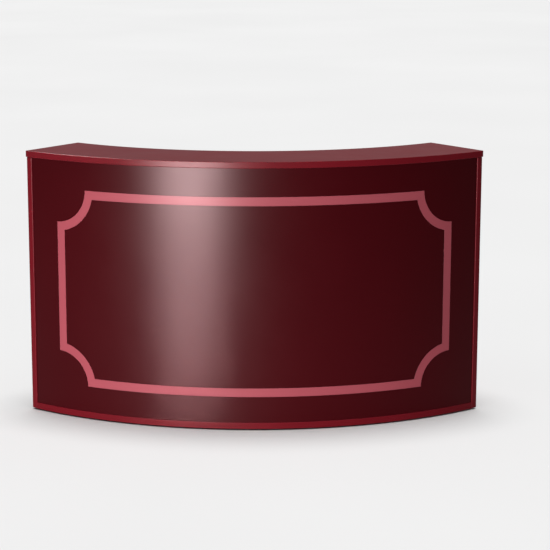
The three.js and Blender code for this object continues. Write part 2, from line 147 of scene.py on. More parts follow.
def ring(x, y, radius, steps):
    angle = np.linspace(0, 2 * np.pi, steps, endpoint=False)
    return np.stack([x + radius * np.cos(angle), y + radius * np.sin(angle)], -1)


# Four-sided faces between the rows of a grid; closed joins the last column to the first
def gridFaces(rows, columns, closed):
    index = np.arange(rows * columns).reshape(rows, columns)
    here = index if closed else index[:, :-1]
    there = np.roll(index, -1, 1) if closed else index[:, 1:]
    return np.stack([here[:-1], there[:-1], there[1:], here[1:]], -1).reshape(-1, 4)


# A shape is its points, a list of face arrays, and for each point how far it lies on an arris. A board: its
# outline is carried up from one face to the other, moving inwards along each point's mitre by the sagitta of
# a quarter circle at both faces, so that all its edges are rounded. Holes are outlines too.
def plate(outline, thickness, put, arris=plan["arris"], holes=()):
    quarter = np.linspace(0, np.pi / 2, plan["edgeSteps"] + 1)
    lip = arris * (1 - np.sin(quarter))
    rise = arris * (1 - np.cos(quarter))
    level = arris + plan["edgeFlat"] * arris
    inset = np.concatenate([[level], lip, [0, 0], lip[::-1], [level]])
    height = np.concatenate([[0], rise, [level, thickness - level], thickness - rise[::-1], [thickness]])
    onArris = np.concatenate([[0], np.sin(2 * quarter), [0, 0], np.sin(2 * quarter), [0]])
    points, faces, edge, first, loops = [], [], [], 0, []
    for loop in [outline, *[hole[::-1] for hole in holes]]:
        step = np.roll(loop, -1, 0) - loop
        normal = np.stack([-step[:, 1], step[:, 0]], -1) / np.linalg.norm(step, axis=1, keepdims=True)
        before = np.roll(normal, 1, 0)
        mitre = (normal + before) / (1 + (normal * before).sum(1, keepdims=True))
        moved = loop[None] + inset[:, None, None] * mitre[None]
        x, y = moved[..., 0], moved[..., 1]
        points.append(put(x, y, np.broadcast_to(height[:, None], x.shape)).reshape(-1, 3))
        edge.append(np.repeat(onArris, len(loop)))
        faces.append(gridFaces(len(inset), len(loop), True) + first)
        loops.append((moved[0], first, first + (len(inset) - 1) * len(loop)))
        first += len(inset) * len(loop)
    rims = [np.pad(rim, ((0, 0), (0, 1))).tolist() for rim, low, high in loops]
    triangles = np.array(tessellate_polygon(rims))
    for which in (1, 2):  # the low face, then the high one
        place = np.concatenate([np.arange(len(loop[0])) + loop[which] for loop in loops])
        faces.append(place[triangles])
    return np.concatenate(points), faces, np.concatenate(edge)


# A turned piece: a profile of (radius, height) pairs carried round an axis; radius 0 closes a pole
def turnedShape(profile, put, steps):
    profile = np.asarray(profile, float)
    angle = np.linspace(0, 2 * np.pi, steps, endpoint=False)
    x = profile[:, :1] * np.cos(angle)
    y = profile[:, :1] * np.sin(angle)
    points = put(x, y, np.broadcast_to(profile[:, 1:], x.shape)).reshape(-1, 3)
    return points, [gridFaces(len(profile), steps, True)], np.zeros(len(points))


# Several shapes become one object at the origin: seams and poles are merged, and faces turned outwards
def makePiece(name, shapes, material, body, replaced):
    points = np.concatenate([shape[0] for shape in shapes])
    starts = np.cumsum([0] + [len(shape[0]) for shape in shapes])
    faces = []
    for shape, start in zip(shapes, starts):
        for block in shape[1]:
            faces += (block + start).tolist()
    mesh = bpy.data.meshes.new(name)
    mesh.from_pydata(points.tolist(), [], faces)
    mesh.attributes.new("edge", "FLOAT", "POINT").data.foreach_set(
        "value", np.concatenate([shape[2] for shape in shapes]).astype(np.float32))
    work = bmesh.new()
    work.from_mesh(mesh)
    bmesh.ops.remove_doubles(work, verts=work.verts, dist=plan["samePoint"])
    bmesh.ops.dissolve_degenerate(work, edges=work.edges, dist=plan["noLength"])
    bmesh.ops.recalc_face_normals(work, faces=work.faces)
    work.to_mesh(mesh)
    work.free()
    mesh.shade_smooth()
    mesh.set_sharp_from_angle(angle=math.radians(plan["crispAngle"]))
    mesh.materials.append(material)
    piece = bpy.data.objects.new(name, mesh)
    bpy.context.scene.collection.objects.link(piece)
    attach(piece, body)
    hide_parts(*replaced)
    return piece


# Materials. Each is a Principled shader fed by noise on Object coordinates.
noiseSpan = (0.3, 0.7)  # most of a noise texture's values


def addNode(tree, kind, inputs=(), **settings):
    added = tree.nodes.new(kind)
    for key, value in settings.items():
        setattr(added, key, value)
    for key, value in dict(inputs).items():
        if isinstance(value, bpy.types.NodeSocket):
            tree.links.new(value, added.inputs[key])
        else:
            added.inputs[key].default_value = value
    return added


def newMaterial(name):
    material = bpy.data.materials.new(name)
    material.use_nodes = True
    tree = material.node_tree
    shader = tree.nodes["Principled BSDF"]
    where = addNode(tree, "ShaderNodeTexCoord").outputs["Object"]
    return material, tree, shader, where


def noise(tree, where, scale, detail, rough=0.5):
    return addNode(tree, "ShaderNodeTexNoise",
                   {"Vector": where, "Scale": scale, "Detail": detail, "Roughness": rough}).outputs["Fac"]


def ramp(tree, value, low, high, outLow, outHigh):
    return addNode(tree, "ShaderNodeMapRange", {"Value": value, "From Min": low, "From Max": high,
                                                "To Min": outLow, "To Max": outHigh}).outputs["Result"]


def noiseTo(tree, value, outLow, outHigh):
    return ramp(tree, value, *noiseSpan, outLow, outHigh)


def times(tree, first, second):
    return addNode(tree, "ShaderNodeMath", {0: first, 1: second}, operation="MULTIPLY").outputs[0]


def mixColour(tree, factor, first, second):
    # 0, 6, 7 and 2 are the Mix node's factor, two colours and result
    return addNode(tree, "ShaderNodeMix", {0: factor, 6: first, 7: second}, data_type="RGBA").outputs[2]


def bump(tree, height, strength, distance):
    return addNode(tree, "ShaderNodeBump", {"Height": height, "Strength": strength,
                                            "Distance": distance}).outputs["Normal"]


def tinted(colour, gain):
    return (*[min(1.0, c * gain) for c in colour], 1.0)


# A colour between a darker and a paler tint of itself
def drifting(tree, value, colour, darker, paler):
    return mixColour(tree, value, tinted(colour, darker), tinted(colour, paler))


# Sprayed lacquer: colour drifts a little, the gloss is uneven from wiping, the surface has faint orange peel,
# and the arrises are rubbed paler in patches
spray = {"cloudDetail": 3.0, "rubScale": 22.0, "rubDetail": 4.0, "rubSpan": (0.35, 0.75), "rubLeast": 0.15,
         "smearDetail": 5.0, "smearRough": 0.6, "peelDetail": 1.0, "peelHeight": 0.0004}


def lacquer(name, look):
    material, tree, shader, where = newMaterial(name)
    cloud = noiseTo(tree, noise(tree, where, look["cloudScale"], spray["cloudDetail"]), 0.0, 1.0)
    tone = drifting(tree, cloud, look["colour"], 1 - look["drift"], 1 + look["drift"])
    arris = addNode(tree, "ShaderNodeAttribute", attribute_name="edge").outputs["Fac"]
    patches = ramp(tree, noise(tree, where, spray["rubScale"], spray["rubDetail"]),
                   *spray["rubSpan"], spray["rubLeast"], 1.0)
    rubbed = times(tree, times(tree, arris, patches), look["edgeRub"])
    tree.links.new(mixColour(tree, rubbed, tone, (*look["edgeColour"], 1.0)), shader.inputs["Base Color"])
    smear = noise(tree, where, look["smearScale"], spray["smearDetail"], spray["smearRough"])
    gloss = noiseTo(tree, smear, look["roughness"] - look["smear"], look["roughness"] + look["smear"])
    tree.links.new(gloss, shader.inputs["Roughness"])
    peel = noise(tree, where, look["peelScale"], spray["peelDetail"])
    tree.links.new(bump(tree, peel, look["peel"], spray["peelHeight"]), shader.inputs["Normal"])
    shader.inputs["Specular IOR Level"].default_value = look["specular"]
    shader.inputs["Specular Tint"].default_value = (*look["specularTint"], 1.0)
    return material


frameLook = {
    "colour": (0.120, 0.0048, 0.0092), "drift": 0.06, "cloudScale": 2.3,
    "edgeColour": (0.30, 0.045, 0.065), "edgeRub": 0.1,
    "roughness": 0.33, "smear": 0.02, "smearScale": 9.0,
    "peel": 0.05, "peelScale": 420.0, "specular": 0.075, "specularTint": (1.0, 0.72, 0.73),
}
panelLook = {
    "colour": (0.038, 0.0008, 0.0022), "drift": 0.05, "cloudScale": 1.7,
    "edgeColour": (0.20, 0.03, 0.045), "edgeRub": 0.3,
    "roughness": 0.31, "smear": 0.015, "smearScale": 7.0,
    "peel": 0.04, "peelScale": 380.0, "specular": 0.07, "specularTint": (1.0, 0.72, 0.73),
}
stripeLook = {
    "colour": (0.30, 0.058, 0.074), "drift": 0.03, "cloudScale": 3.0,
    "edgeColour": (0.60, 0.2, 0.23), "edgeRub": 0.3,
    "roughness": 0.36, "smear": 0.02, "smearScale": 12.0,
    "peel": 0.03, "peelScale": 500.0, "specular": 0.105, "specularTint": (1.0, 0.72, 0.73),
}
burgundySatin = lacquer("burgundySatin", frameLook)
burgundyDeep = lacquer("burgundyDeep", panelLook)
roseStripe = lacquer("roseStripe", stripeLook)


# Melamine-faced board: pale, with a fine printed fleck and a pearl-finish bump
boardLook = {
    "colour": (0.62, 0.58, 0.52), "darker": 0.96, "paler": 1.03,
    "fleckScale": 240.0, "fleckDetail": 6.0, "fleckRough": 0.7, "fleckSpan": (0.35, 0.65),
    "pearlScale": 900.0, "pearlDetail": 2.0, "gloss": (0.42, 0.55), "pearl": 0.12, "pearlHeight": 0.0003,
}


def melamine(name, look):
    material, tree, shader, where = newMaterial(name)
    printed = noise(tree, where, look["fleckScale"], look["fleckDetail"], look["fleckRough"])
    fleck = ramp(tree, printed, *look["fleckSpan"], 0.0, 1.0)
    tone = drifting(tree, fleck, look["colour"], look["darker"], look["paler"])
    tree.links.new(tone, shader.inputs["Base Color"])
    pearl = noise(tree, where, look["pearlScale"], look["pearlDetail"])
    tree.links.new(noiseTo(tree, pearl, *look["gloss"]), shader.inputs["Roughness"])
    tree.links.new(bump(tree, pearl, look["pearl"], look["pearlHeight"]), shader.inputs["Normal"])
    return material


paleBoard = melamine("paleBoard", boardLook)


# Plated metal: streaks along one direction in the gloss, and a slight mottle in the colour
plating = {"streakDetail": 4.0, "streakRough": 0.6, "streak": 0.05, "streakHeight": 0.0002,
           "glossSwing": 0.07, "mottleDetail": 3.0, "darker": 0.9, "paler": 1.06}
zincLook = {"colour": (0.50, 0.51, 0.53), "stretch": (30, 30, 400), "mottleScale": 140.0, "roughness": 0.36}
nickelLook = {"colour": (0.60, 0.585, 0.55), "stretch": (260, 260, 900), "mottleScale": 60.0,
              "roughness": 0.28}


def plated(name, look):
    material, tree, shader, where = newMaterial(name)
    drawn = addNode(tree, "ShaderNodeMapping", {"Vector": where, "Scale": look["stretch"]}).outputs["Vector"]
    streak = noise(tree, drawn, 1.0, plating["streakDetail"], plating["streakRough"])
    mottle = noiseTo(tree, noise(tree, where, look["mottleScale"], plating["mottleDetail"]), 0.0, 1.0)
    tone = drifting(tree, mottle, look["colour"], plating["darker"], plating["paler"])
    tree.links.new(tone, shader.inputs["Base Color"])
    swing = plating["glossSwing"]
    gloss = noiseTo(tree, streak, look["roughness"] - swing, look["roughness"] + swing)
    tree.links.new(gloss, shader.inputs["Roughness"])
    tree.links.new(bump(tree, streak, plating["streak"], plating["streakHeight"]), shader.inputs["Normal"])
    shader.inputs["Metallic"].default_value = 1.0
    return material


zincPlate = plated("zincPlate", zincLook)
satinNickel = plated("satinNickel", nickelLook)


# Moulded plastic: spark-eroded grain in the bump, and gloss that varies with it
moulding = {"grainDetail": 3.0, "grainRough": 0.65, "grain": 0.25, "grainHeight": 0.0003, "glossSwing": 0.08,
            "toneScale": 35.0, "toneDetail": 2.0, "darker": 0.88, "paler": 1.12}
blackLook = {"colour": (0.014, 0.013, 0.014), "grainScale": 1400.0, "roughness": 0.5}
greyLook = {"colour": (0.16, 0.155, 0.15), "grainScale": 900.0, "roughness": 0.55}


def moulded(name, look):
    material, tree, shader, where = newMaterial(name)
    grain = noise(tree, where, look["grainScale"], moulding["grainDetail"], moulding["grainRough"])
    cloud = noiseTo(tree, noise(tree, where, moulding["toneScale"], moulding["toneDetail"]), 0.0, 1.0)
    tone = drifting(tree, cloud, look["colour"], moulding["darker"], moulding["paler"])
    tree.links.new(tone, shader.inputs["Base Color"])
    swing = moulding["glossSwing"]
    gloss = noiseTo(tree, grain, look["roughness"] - swing, look["roughness"] + swing)
    tree.links.new(gloss, shader.inputs["Roughness"])
    tree.links.new(bump(tree, grain, moulding["grain"], moulding["grainHeight"]), shader.inputs["Normal"])
    return material


blackMoulded = moulded("blackMoulded", blackLook)
greyNylon = moulded("greyNylon", greyLook)
print("finishes made")


# Counter, base and worktop: curved boards
counter = {"overhang": 0.003, "depth": 0.300, "arris": 0.0018, "corner": 0.0030}
counterRadius = centreY - counterLow.y
counterRear = counterRadius - counter["depth"]
counterPlan = sectorOutline(counterRadius, counterRear, -counter["overhang"], counter["corner"])
counterShape = plate(counterPlan, counterHigh.z - counterLow.z,
                     lambda x, y, h: onCurve(x, y, h + counterLow.z), counter["arris"])
counterBoard = makePiece("counterBoard", [counterShape], burgundySatin, "root",
                         ["counter_top"])

base = {"depth": 0.300}
baseRear = plan["frontRadius"] - base["depth"]
basePlan = sectorOutline(plan["frontRadius"], baseRear, insideEnd, plan["corner"])
baseShape = plate(basePlan, baseHigh.z - baseLow.z, lambda x, y, h: onCurve(x, y, h + baseLow.z))
makePiece("baseBoard", [baseShape], burgundySatin, "root", ["base_board"])

worktop = {"depth": 0.600, "holeRadius": 0.0303, "holeSteps": 72}
panel = {"thickness": 0.012, "sideSteps": 13}
linerLow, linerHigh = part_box("grommet_liner")
grommetY = (linerLow.y + linerHigh.y) / 2 - centreY
panelBack = plan["panelRadius"] - panel["thickness"]
worktopRear = plan["frontRadius"] - worktop["depth"]
worktopPlan = sectorOutline(panelBack - plan["seatGap"], worktopRear, insideEnd, plan["corner"])
worktopHole = ring(0, grommetY, worktop["holeRadius"], worktop["holeSteps"])
worktopShape = plate(worktopPlan, worktopHigh.z - worktopLow.z,
                     lambda x, y, h: onCurve(x, y, h + worktopLow.z), holes=[worktopHole])
makePiece("worktopBoard", [worktopShape], burgundySatin, "root", ["worktop"])
print("curved boards made")


# Stripe line, e inside the stripe's outer edge: level in the middle, and near each end a quarter circle about
# the corner of the outer rectangle. Gives positions along the curve and the upper and lower heights there.
stripe = {"width": 0.034, "notchRadius": 0.132, "seam": 0.0003, "inlayDepth": 0.0015, "ease": 0.0002,
          "arcSteps": 25, "runSteps": 121}
stripeLow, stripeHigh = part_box("stripe_inlay")
stripeHalf = plan["panelRadius"] * math.asin(stripeHigh.x / plan["panelRadius"])


def stripeLine(e):
    radius = stripe["notchRadius"] + e
    angle = np.linspace(math.asin(e / radius), math.acos(e / radius), stripe["arcSteps"])
    left = radius * np.sin(angle) - stripeHalf
    run = np.linspace(left[-1], -left[-1], stripe["runSteps"])[1:-1]
    drop = np.concatenate([radius * np.cos(angle), np.full(len(run), e), radius * np.cos(angle[::-1])])
    return np.concatenate([left, run, -left[::-1]]), stripeHigh.z - drop, stripeLow.z + drop


def stripeLoop(e):
    along, upper, lower = stripeLine(e)
    return np.concatenate([along, along[::-1]]), np.concatenate([upper, lower[::-1]])


# A grid of positions along the panel, heights and radii, wrapped on the cylinder: the position along the face
# over the panel's radius is the angle
def wrapped(along, height, radius, closed=False):
    along, height, radius = np.broadcast_arrays(along, height, radius)
    angle = along / plan["panelRadius"]
    points = np.stack([radius * np.sin(angle), centreY - radius * np.cos(angle), height], -1)
    return points.reshape(-1, 3), [gridFaces(*angle.shape, closed)], np.zeros(angle.size)


# Bowed panel: upright strips on the cylinder, inside the stripe, above and below it and at both sides, with
# the groove's walls and floor between them, a back, and a rim all round
def bowedPanel():
    face = plan["panelRadius"]
    grooveFloor = face - stripe["inlayDepth"] - stripe["seam"]
    low, high = panelLow.z, panelHigh.z
    halfPanel = face * (endTurn - math.asin(insideEnd / face))
    outerAlong, outerUpper, outerLower = stripeLine(-stripe["seam"])
    innerAlong, innerUpper, innerLower = stripeLine(stripe["width"] + stripe["seam"])
    shapes = [
        wrapped(innerAlong[None], np.stack([innerLower, innerUpper]), face),
        wrapped(outerAlong[None], np.stack([outerUpper, np.full_like(outerUpper, high)]), face),
        wrapped(outerAlong[None], np.stack([np.full_like(outerLower, low), outerLower]), face),
    ]
    heights = np.array([low, outerLower[0], outerUpper[0], high])[:, None]
    leftSide = np.linspace(-halfPanel, outerAlong[0], panel["sideSteps"])
    for side in (leftSide, -leftSide[::-1]):
        shapes.append(wrapped(side[None], heights, face))
    outer, inner = stripeLoop(-stripe["seam"]), stripeLoop(stripe["width"] + stripe["seam"])
    wallDepths = np.array([face, grooveFloor])[:, None]
    for along, height in (outer, inner):
        shapes.append(wrapped(along[None], height[None], wallDepths, True))
    shapes.append(wrapped(np.stack([outer[0], inner[0]]), np.stack([outer[1], inner[1]]), grooveFloor, True))
    across = np.concatenate([leftSide[:-1], outerAlong, -leftSide[::-1][1:]])
    shapes.append(wrapped(across[None], heights, panelBack))
    rimDepths = np.array([face, panelBack])[:, None]
    for height in (low, high):
        shapes.append(wrapped(across[None], height, rimDepths))
    for end in (-halfPanel, halfPanel):
        shapes.append(wrapped(end, heights.T, rimDepths))
    return shapes


# Inlay: a small closed section carried round the stripe, with its two front edges eased
def stripeBand():
    ease, width = stripe["ease"], stripe["width"]
    face, back = plan["panelRadius"], plan["panelRadius"] - stripe["inlayDepth"]
    section = [(ease, face), (0.0, face - ease), (0.0, back), (width, back),
               (width, face - ease), (width - ease, face), (ease, face)]
    loops = [stripeLoop(e) for e, radius in section]
    return wrapped(np.stack([loop[0] for loop in loops]), np.stack([loop[1] for loop in loops]),
                   np.array([radius for e, radius in section])[:, None], True)


makePiece("bowedPanel", bowedPanel(), burgundyDeep, "root", ["front_panel"])
makePiece("stripeBand", [stripeBand()], roseStripe, "root", ["stripe_inlay"])
print("bowed panel and stripe made")


# End panels: L-shaped boards, tall under the counter and lower beside the worktop
ends = {"arris": 0.0023, "corner": 0.0038, "stepFillet": 0.060, "rearCorner": 0.030, "cornerSteps": 14}


def endOutline():
    low, high, step = baseLow.z, counterLow.z - plan["seatGap"], worktopHigh.z
    front = plan["frontRadius"]
    points = [(worktopRear, low), (front, low), (front, high),
              (counterRear, high), (counterRear, step), (worktopRear, step)]
    radii = [ends["corner"]] * 4 + [ends["stepFillet"], ends["rearCorner"]]
    return softCorners(points, radii, ends["cornerSteps"])


leftEnd = plate(endOutline(), plan["endThickness"], lambda a, u, h: onLeftEnd(a, h, u), ends["arris"])
rightEnd = plate(endOutline(), plan["endThickness"], lambda a, u, h: onRightEnd(a, -h, u), ends["arris"])
makePiece("leftEndBoard", [leftEnd], burgundySatin, "root", ["left_end_panel"])
makePiece("rightEndBoard", [rightEnd], burgundySatin, "root", ["right_end_panel"])


# Straight boards: the node's own box in its turned frame, rebuilt with rounded edges. The board's thickness
# is its shortest side.
def straightBoard(node, turn, arris=plan["arris"], corner=plan["corner"], holes=()):
    low, high = turnedBox(node, turn)
    thin = int(np.argmin(high - low))
    wide = [axis for axis in range(3) if axis != thin]
    outline = rectangle(low[wide[0]], high[wide[0]], low[wide[1]], high[wide[1]], corner)
    put = onTurn(turn)

    def stood(first, second, height):
        local = [None, None, None]
        local[wide[0]], local[wide[1]], local[thin] = first, second, height + low[thin]
        return put(*local)
    return plate(outline, high[thin] - low[thin], stood, arris, holes)


ribs = {"upper_left_rib": ("upperLeftRib", -12.7), "upper_right_rib": ("upperRightRib", 12.7),
        "lower_rib": ("lowerRib", 20.0)}  # degrees from the desk's middle
rails = {"pedestal_top_rail": "topRail", "pedestal_kick_rail": "kickRail"}
for rib, (label, degrees) in ribs.items():
    ribShape = straightBoard(rib, math.radians(degrees))
    makePiece(label, [ribShape], burgundySatin, "root", [rib])
for rail, label in rails.items():
    makePiece(label, [straightBoard(rail, -endTurn)], burgundySatin, "root", [rail])
print("end panels, ribs and rails made")


# Gable beside the knee space: notched over the base board, its front edge just behind the bowed panel
gable = {"notchCorner": 0.001}
gableLow, gableHigh = turnedBox("pedestal_gable", -endTurn)


def gableOutline():
    rear, foot, top = gableLow[0], gableLow[2], gableHigh[2]
    notch = math.sqrt(baseRear ** 2 - gableHigh[1] ** 2) - plan["seatGap"]
    front = math.sqrt((panelBack - plan["seatGap"]) ** 2 - gableHigh[1] ** 2)
    step = baseHigh.z + plan["seatGap"]
    points = [(rear, foot), (notch, foot), (notch, step), (front, step), (front, top), (rear, top)]
    radii = np.full(len(points), plan["corner"])
    radii[2] = gable["notchCorner"]
    return softCorners(points, radii)


gableShape = plate(gableOutline(), gableHigh[1] - gableLow[1],
                   lambda a, u, h: onLeftEnd(a, gableLow[1] + h, u))
makePiece("kneeGable", [gableShape], burgundySatin, "root", ["pedestal_gable"])


# Screw: a shallow dome on a disc, on rings and spokes, with a cross pressed into it where either coordinate
# is small and the point is near the middle
screw = {"radius": 0.0042, "height": 0.0018, "roundness": 0.8, "arm": 0.0006, "reach": 0.0024,
         "depth": 0.0011, "rings": 9, "spokes": 40}


def screwHead(put):
    radius = np.linspace(0, 1, screw["rings"])[:, None] * screw["radius"]
    angle = np.linspace(0, 2 * np.pi, screw["spokes"], endpoint=False)
    x, y = radius * np.cos(angle), radius * np.sin(angle)
    square = x ** 2 + y ** 2
    dome = screw["height"] * np.sqrt(1.0 - screw["roundness"] * square / screw["radius"] ** 2)
    cross = (np.minimum(np.abs(x), np.abs(y)) < screw["arm"]) & (square < screw["reach"] ** 2)
    height = np.concatenate([dome - screw["depth"] * cross, np.zeros((2, screw["spokes"]))])
    x = np.concatenate([x, x[-1:], 0 * x[:1]])
    y = np.concatenate([y, y[-1:], 0 * y[:1]])
    points = put(x, y, height).reshape(-1, 3)
    return points, [gridFaces(*x.shape, True)], np.zeros(len(points))


# Runner channel: a C with rounded bends, carried along the drawer's travel. webHigh puts the C's back at the
# high side.
runner = {"gauge": 0.0016, "bend": 0.0024, "lip": 0.0005, "inside": 0.0009, "bendSteps": 4, "arris": 0.0002,
          "screwPlaces": (0.10, 0.5, 0.9)}


def channelShape(node, webHigh):
    low, high = turnedBox(node, -endTurn)
    x0, x1, y0, y1 = low[1], high[1], low[2], high[2]
    g = runner["gauge"]
    corners = np.array([(x0, y0), (x1, y0), (x1, y0 + g), (x0 + g, y0 + g),
                        (x0 + g, y1 - g), (x1, y1 - g), (x1, y1), (x0, y1)])
    radii = np.array([runner["bend"], runner["lip"], runner["lip"], runner["inside"],
                      runner["inside"], runner["lip"], runner["lip"], runner["bend"]])
    if webHigh:
        corners = (corners * (-1, 1) + (x0 + x1, 0))[::-1]
        radii = radii[::-1]
    length = high[0] - low[0]
    channel = plate(softCorners(corners, radii, runner["bendSteps"]), length,
                    lambda x, y, h: onLeftEnd(low[0] + h, x, y), runner["arris"])
    face = x1 - g if webHigh else x0 + g
    side = -1 if webHigh else 1
    middle = (y0 + y1) / 2

    def onWeb(at):
        return lambda x, y, h: onLeftEnd(low[0] + at * length + x, face + side * h, middle + y)
    return [channel, *[screwHead(onWeb(at)) for at in runner["screwPlaces"]]]


# Bow handle: a round bar along a squared-off arch, out = sine to a power and across = cosine to the same
# power, a little thicker at its two feet
handle = {"span": 0.128, "bar": 0.005, "squareness": 0.45, "footFlare": 0.0014, "footLength": 0.0035,
          "steps": 121, "sides": 28}


def bowHandle(node):
    low, high = turnedBox(node, -endTurn)
    reach = high[0] - low[0] - handle["bar"]
    power = handle["squareness"]
    u = np.linspace(0, 1, handle["steps"])
    near = 0.5 * (2 * np.minimum(u, 1 - u)) ** (1 / power)
    angle = np.pi * (1 - np.where(u < 0.5, near, 1 - near))
    across = np.sign(np.cos(angle)) * np.abs(np.cos(angle)) ** power * handle["span"] / 2
    out = np.clip(np.sin(angle), 0, 1) ** power * reach
    path = np.stack([high[0] - out, (low[1] + high[1]) / 2 + across], -1)
    tangent = np.gradient(path, axis=0)
    tangent[[0, -1]] = [(-1, 0), (1, 0)]
    tangent /= np.linalg.norm(tangent, axis=1, keepdims=True)
    normal = np.stack([-tangent[:, 1], tangent[:, 0]], -1)
    thick = handle["bar"] + handle["footFlare"] * np.exp(-(out / handle["footLength"]) ** 2)
    thick = np.concatenate([[0], thick, [0]])
    path = np.concatenate([path[:1], path, path[-1:]])
    normal = np.concatenate([normal[:1], normal, normal[-1:]])
    spin = np.linspace(0, 2 * np.pi, handle["sides"], endpoint=False)
    around = thick[:, None] * np.cos(spin)
    points = onLeftEnd(path[:, :1] + around * normal[:, :1], path[:, 1:] + around * normal[:, 1:],
                       (low[2] + high[2]) / 2 + thick[:, None] * np.sin(spin)).reshape(-1, 3)
    return points, [gridFaces(len(thick), handle["sides"], True)], np.zeros(len(points))


# Drawers: fronts, boxes, handles and runners; the upper front is drilled for the lock
drawer = {"boxArris": 0.0007, "boxCorner": 0.0012, "frontArris": 0.0016, "frontCorner": 0.0027}
lock = {
    "radius": 0.008, "holeSteps": 48, "bezel": 0.0105, "bezelHeight": 0.002,
    "caseRadii": (0.0003, 0.0012, 0.0002, 0.0001, 0.0004, 0.0002), "caseSteps": 72,
    "plug": 0.006, "plugSteps": 64, "plugArris": 0.0004, "coreArris": 0.0001,
    "keyway": (0.0024, 0.006), "keyDepth": 0.004, "keyCorner": 0.0006,
    "cam": (0.026, 0.009, 0.0025), "camArris": 0.0003, "camSteps": 8,
    "camCorner": 0.36,  # as a share of the cam's breadth
}
lockLow, lockHigh = turnedBox("lock_case", -endTurn)
lockAcross, lockUp = (lockLow[1] + lockHigh[1]) / 2, (lockLow[2] + lockHigh[2]) / 2
lockHole = ring(lockAcross, lockUp, lock["radius"] + plan["seatGap"], lock["holeSteps"])
boxBoards = {"left_side": "BoxLeft", "right_side": "BoxRight", "back": "BoxBack", "floor": "BoxFloor"}
channels = {"left_runner": ("LeftRunner", False, "root"), "right_runner": ("RightRunner", True, "root"),
            "left_slide": ("LeftSlide", True, None), "right_slide": ("RightSlide", False, None)}
for tier in ("upper", "middle", "lower"):
    body = f"{tier}_drawer"
    front = straightBoard(f"{body}_front", -endTurn, drawer["frontArris"], drawer["frontCorner"],
                          [lockHole] if tier == "upper" else [])
    makePiece(f"{tier}Front", [front], burgundySatin, body, [f"{body}_front"])
    for part, label in boxBoards.items():
        board = straightBoard(f"{body}_{part}", -endTurn, drawer["boxArris"], drawer["boxCorner"])
        makePiece(f"{tier}{label}", [board], paleBoard, body, [f"{body}_{part}"])
    for part, (label, webHigh, carrier) in channels.items():
        makePiece(f"{tier}{label}", channelShape(f"{body}_{part}", webHigh), zincPlate, carrier or body,
                  [f"{body}_{part}"])
    makePiece(f"{tier}Handle", [bowHandle(f"{body}_handle")], satinNickel, body,
              [f"{body}_handle"])
print("drawers made")


# Lock: a turned case with a rounded bezel, and a plug with a keyway in its face and a cam behind the front
def onLock(x, y, h):
    return onLeftEnd(lockLow[0] + lock["bezelHeight"] + plan["seatGap"] + h, lockAcross + x, lockUp + y)


def lockCase():
    front = -lock["bezelHeight"] - plan["seatGap"]
    back = lockHigh[0] - lockLow[0] - lock["bezelHeight"] - plan["seatGap"]
    shoulder = -plan["seatGap"]
    bore = lock["plug"] + plan["seatGap"]
    profile = softCorners([(bore, front), (lock["bezel"], front), (lock["bezel"], shoulder),
                           (lock["radius"], shoulder), (lock["radius"], back), (bore, back)],
                          lock["caseRadii"])
    return turnedShape(np.concatenate([profile, profile[:1]]), onLock, lock["caseSteps"])


def lockPlug():
    low, high = turnedBox("lock_plug", -endTurn)
    start = -lock["bezelHeight"]
    length = high[0] - low[0]
    wide, tall = lock["keyway"]
    long, broad, thick = lock["cam"]
    disc = ring(0, 0, lock["plug"], lock["plugSteps"])
    keyway = rectangle(-wide / 2, wide / 2, -tall / 2, tall / 2, lock["keyCorner"])
    face = plate(disc, lock["keyDepth"], lambda x, y, h: onLock(x, y, start + h), lock["plugArris"], [keyway])
    core = plate(disc, length - lock["keyDepth"],
                 lambda x, y, h: onLock(x, y, start + lock["keyDepth"] + h), lock["coreArris"])
    half = broad / 2
    lever = softCorners([(-long, -half), (half, -half), (half, half), (-long, half)],
                        [broad * lock["camCorner"]] * 4, lock["camSteps"])
    cam = plate(lever, thick, lambda x, y, h: onLock(x, y, start + length - thick + h), lock["camArris"])
    return [face, core, cam]


makePiece("lockCase", [lockCase()], satinNickel, "upper_drawer", ["lock_case"])
makePiece("lockPlug", lockPlug(), satinNickel, "lock_plug", ["lock_plug"])

# Cable grommet: a turned liner with a ledge, and a cap with an open slot for the cables
grommet = {
    "flange": 0.036, "sleeve": 0.030, "bore": 0.0265, "seat": 0.0285, "ledge": 0.004,
    "linerRadii": (0.0006, 0.0006, 0.0003, 0.0005, 0.0011, 0.0005, 0.0003, 0.0005), "linerSteps": 96,
    "slotWidth": 0.016, "slotDepth": 0.017, "mouthCorner": 0.0009, "rimSteps": 90, "slotSteps": 25,
    "capArris": 0.0005,
}
capLow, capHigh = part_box("grommet_cap")


def linerProfile():
    low, high = linerLow.z, linerHigh.z
    shelf = worktopHigh.z + plan["seatGap"]
    ledge = high - grommet["ledge"]
    profile = softCorners([(grommet["bore"], low), (grommet["sleeve"], low), (grommet["sleeve"], shelf),
                           (grommet["flange"], shelf), (grommet["flange"], high), (grommet["seat"], high),
                           (grommet["seat"], ledge), (grommet["bore"], ledge)], grommet["linerRadii"])
    return np.concatenate([profile, profile[:1]])


def capOutline():
    radius = (capHigh.x - capLow.x) / 2
    slotHalf, slotEnd = grommet["slotWidth"] / 2, radius - grommet["slotDepth"]
    mouth = math.asin(slotHalf / radius)
    outer = np.linspace(-np.pi / 2 + mouth, 1.5 * np.pi - mouth, grommet["rimSteps"])
    inner = np.linspace(np.pi, 0, grommet["slotSteps"])
    points = np.concatenate([radius * np.stack([np.cos(outer), np.sin(outer)], -1),
                             slotHalf * np.stack([np.cos(inner), np.sin(inner)], -1) - (0, slotEnd)])
    radii = np.zeros(len(points))
    radii[[0, len(outer) - 1]] = grommet["mouthCorner"]
    return softCorners(points, radii)


def onGrommet(x, y, h):
    return onCurve(x, y + grommetY, h)


